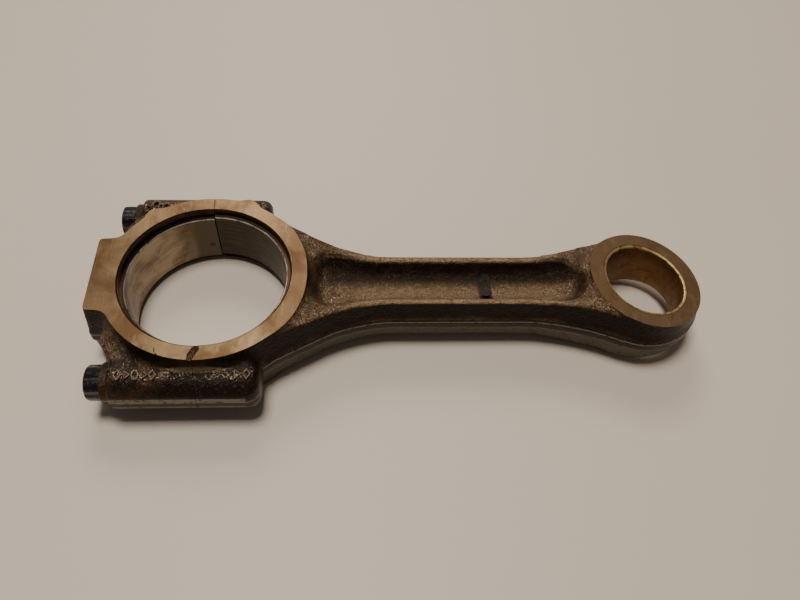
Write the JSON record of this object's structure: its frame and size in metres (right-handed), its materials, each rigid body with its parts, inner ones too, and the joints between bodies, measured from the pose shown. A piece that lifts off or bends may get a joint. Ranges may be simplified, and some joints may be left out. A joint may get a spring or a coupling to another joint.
{
  "type": "connecting rod",
  "caption": "Fracture-split connecting rod with an I-section shank, bolted bearing cap, plain bearing shells, a tapered small end and a bronze bush.",
  "frame": {"origin": "big-end bore axis, at the middle of the rod's width", "axes": "+X along the rod towards the small end, +Z along both bores, +Y across; the rod lies flat on its lower side face"},
  "size_m": [0.2014, 0.0792, 0.025],
  "materials": {
    "forged_steel": "oily forged skin with machined faces",
    "upper_lining": "dull bearing lining",
    "lower_lining": "polished bearing lining",
    "bronze": "turned bronze, oil stained",
    "black_steel": "black oxide"
  },
  "bodies": {
    "rod": {"rod_forging": "forged_steel", "rod_bearing_shell": "upper_lining", "small_end_bush": "bronze"},
    "cap": {"bearing_cap": "forged_steel", "cap_bearing_shell": "lower_lining"},
    "front_bolt": {"cap_bolt_front": "black_steel"},
    "rear_bolt": {"cap_bolt_rear": "black_steel"}
  },
  "joints": [
    {"name": "cap_slide", "type": "slide", "parent": "rod", "child": "cap", "axis": [-1, 0, 0], "range_m": [0, 0.04]},
    {"name": "front_bolt_slide", "type": "slide", "parent": "cap", "child": "front_bolt", "axis": [-1, 0, 0], "range_m": [0, 0.045]},
    {"name": "rear_bolt_slide", "type": "slide", "parent": "cap", "child": "rear_bolt", "axis": [-1, 0, 0], "range_m": [0, 0.045]}
  ]
}
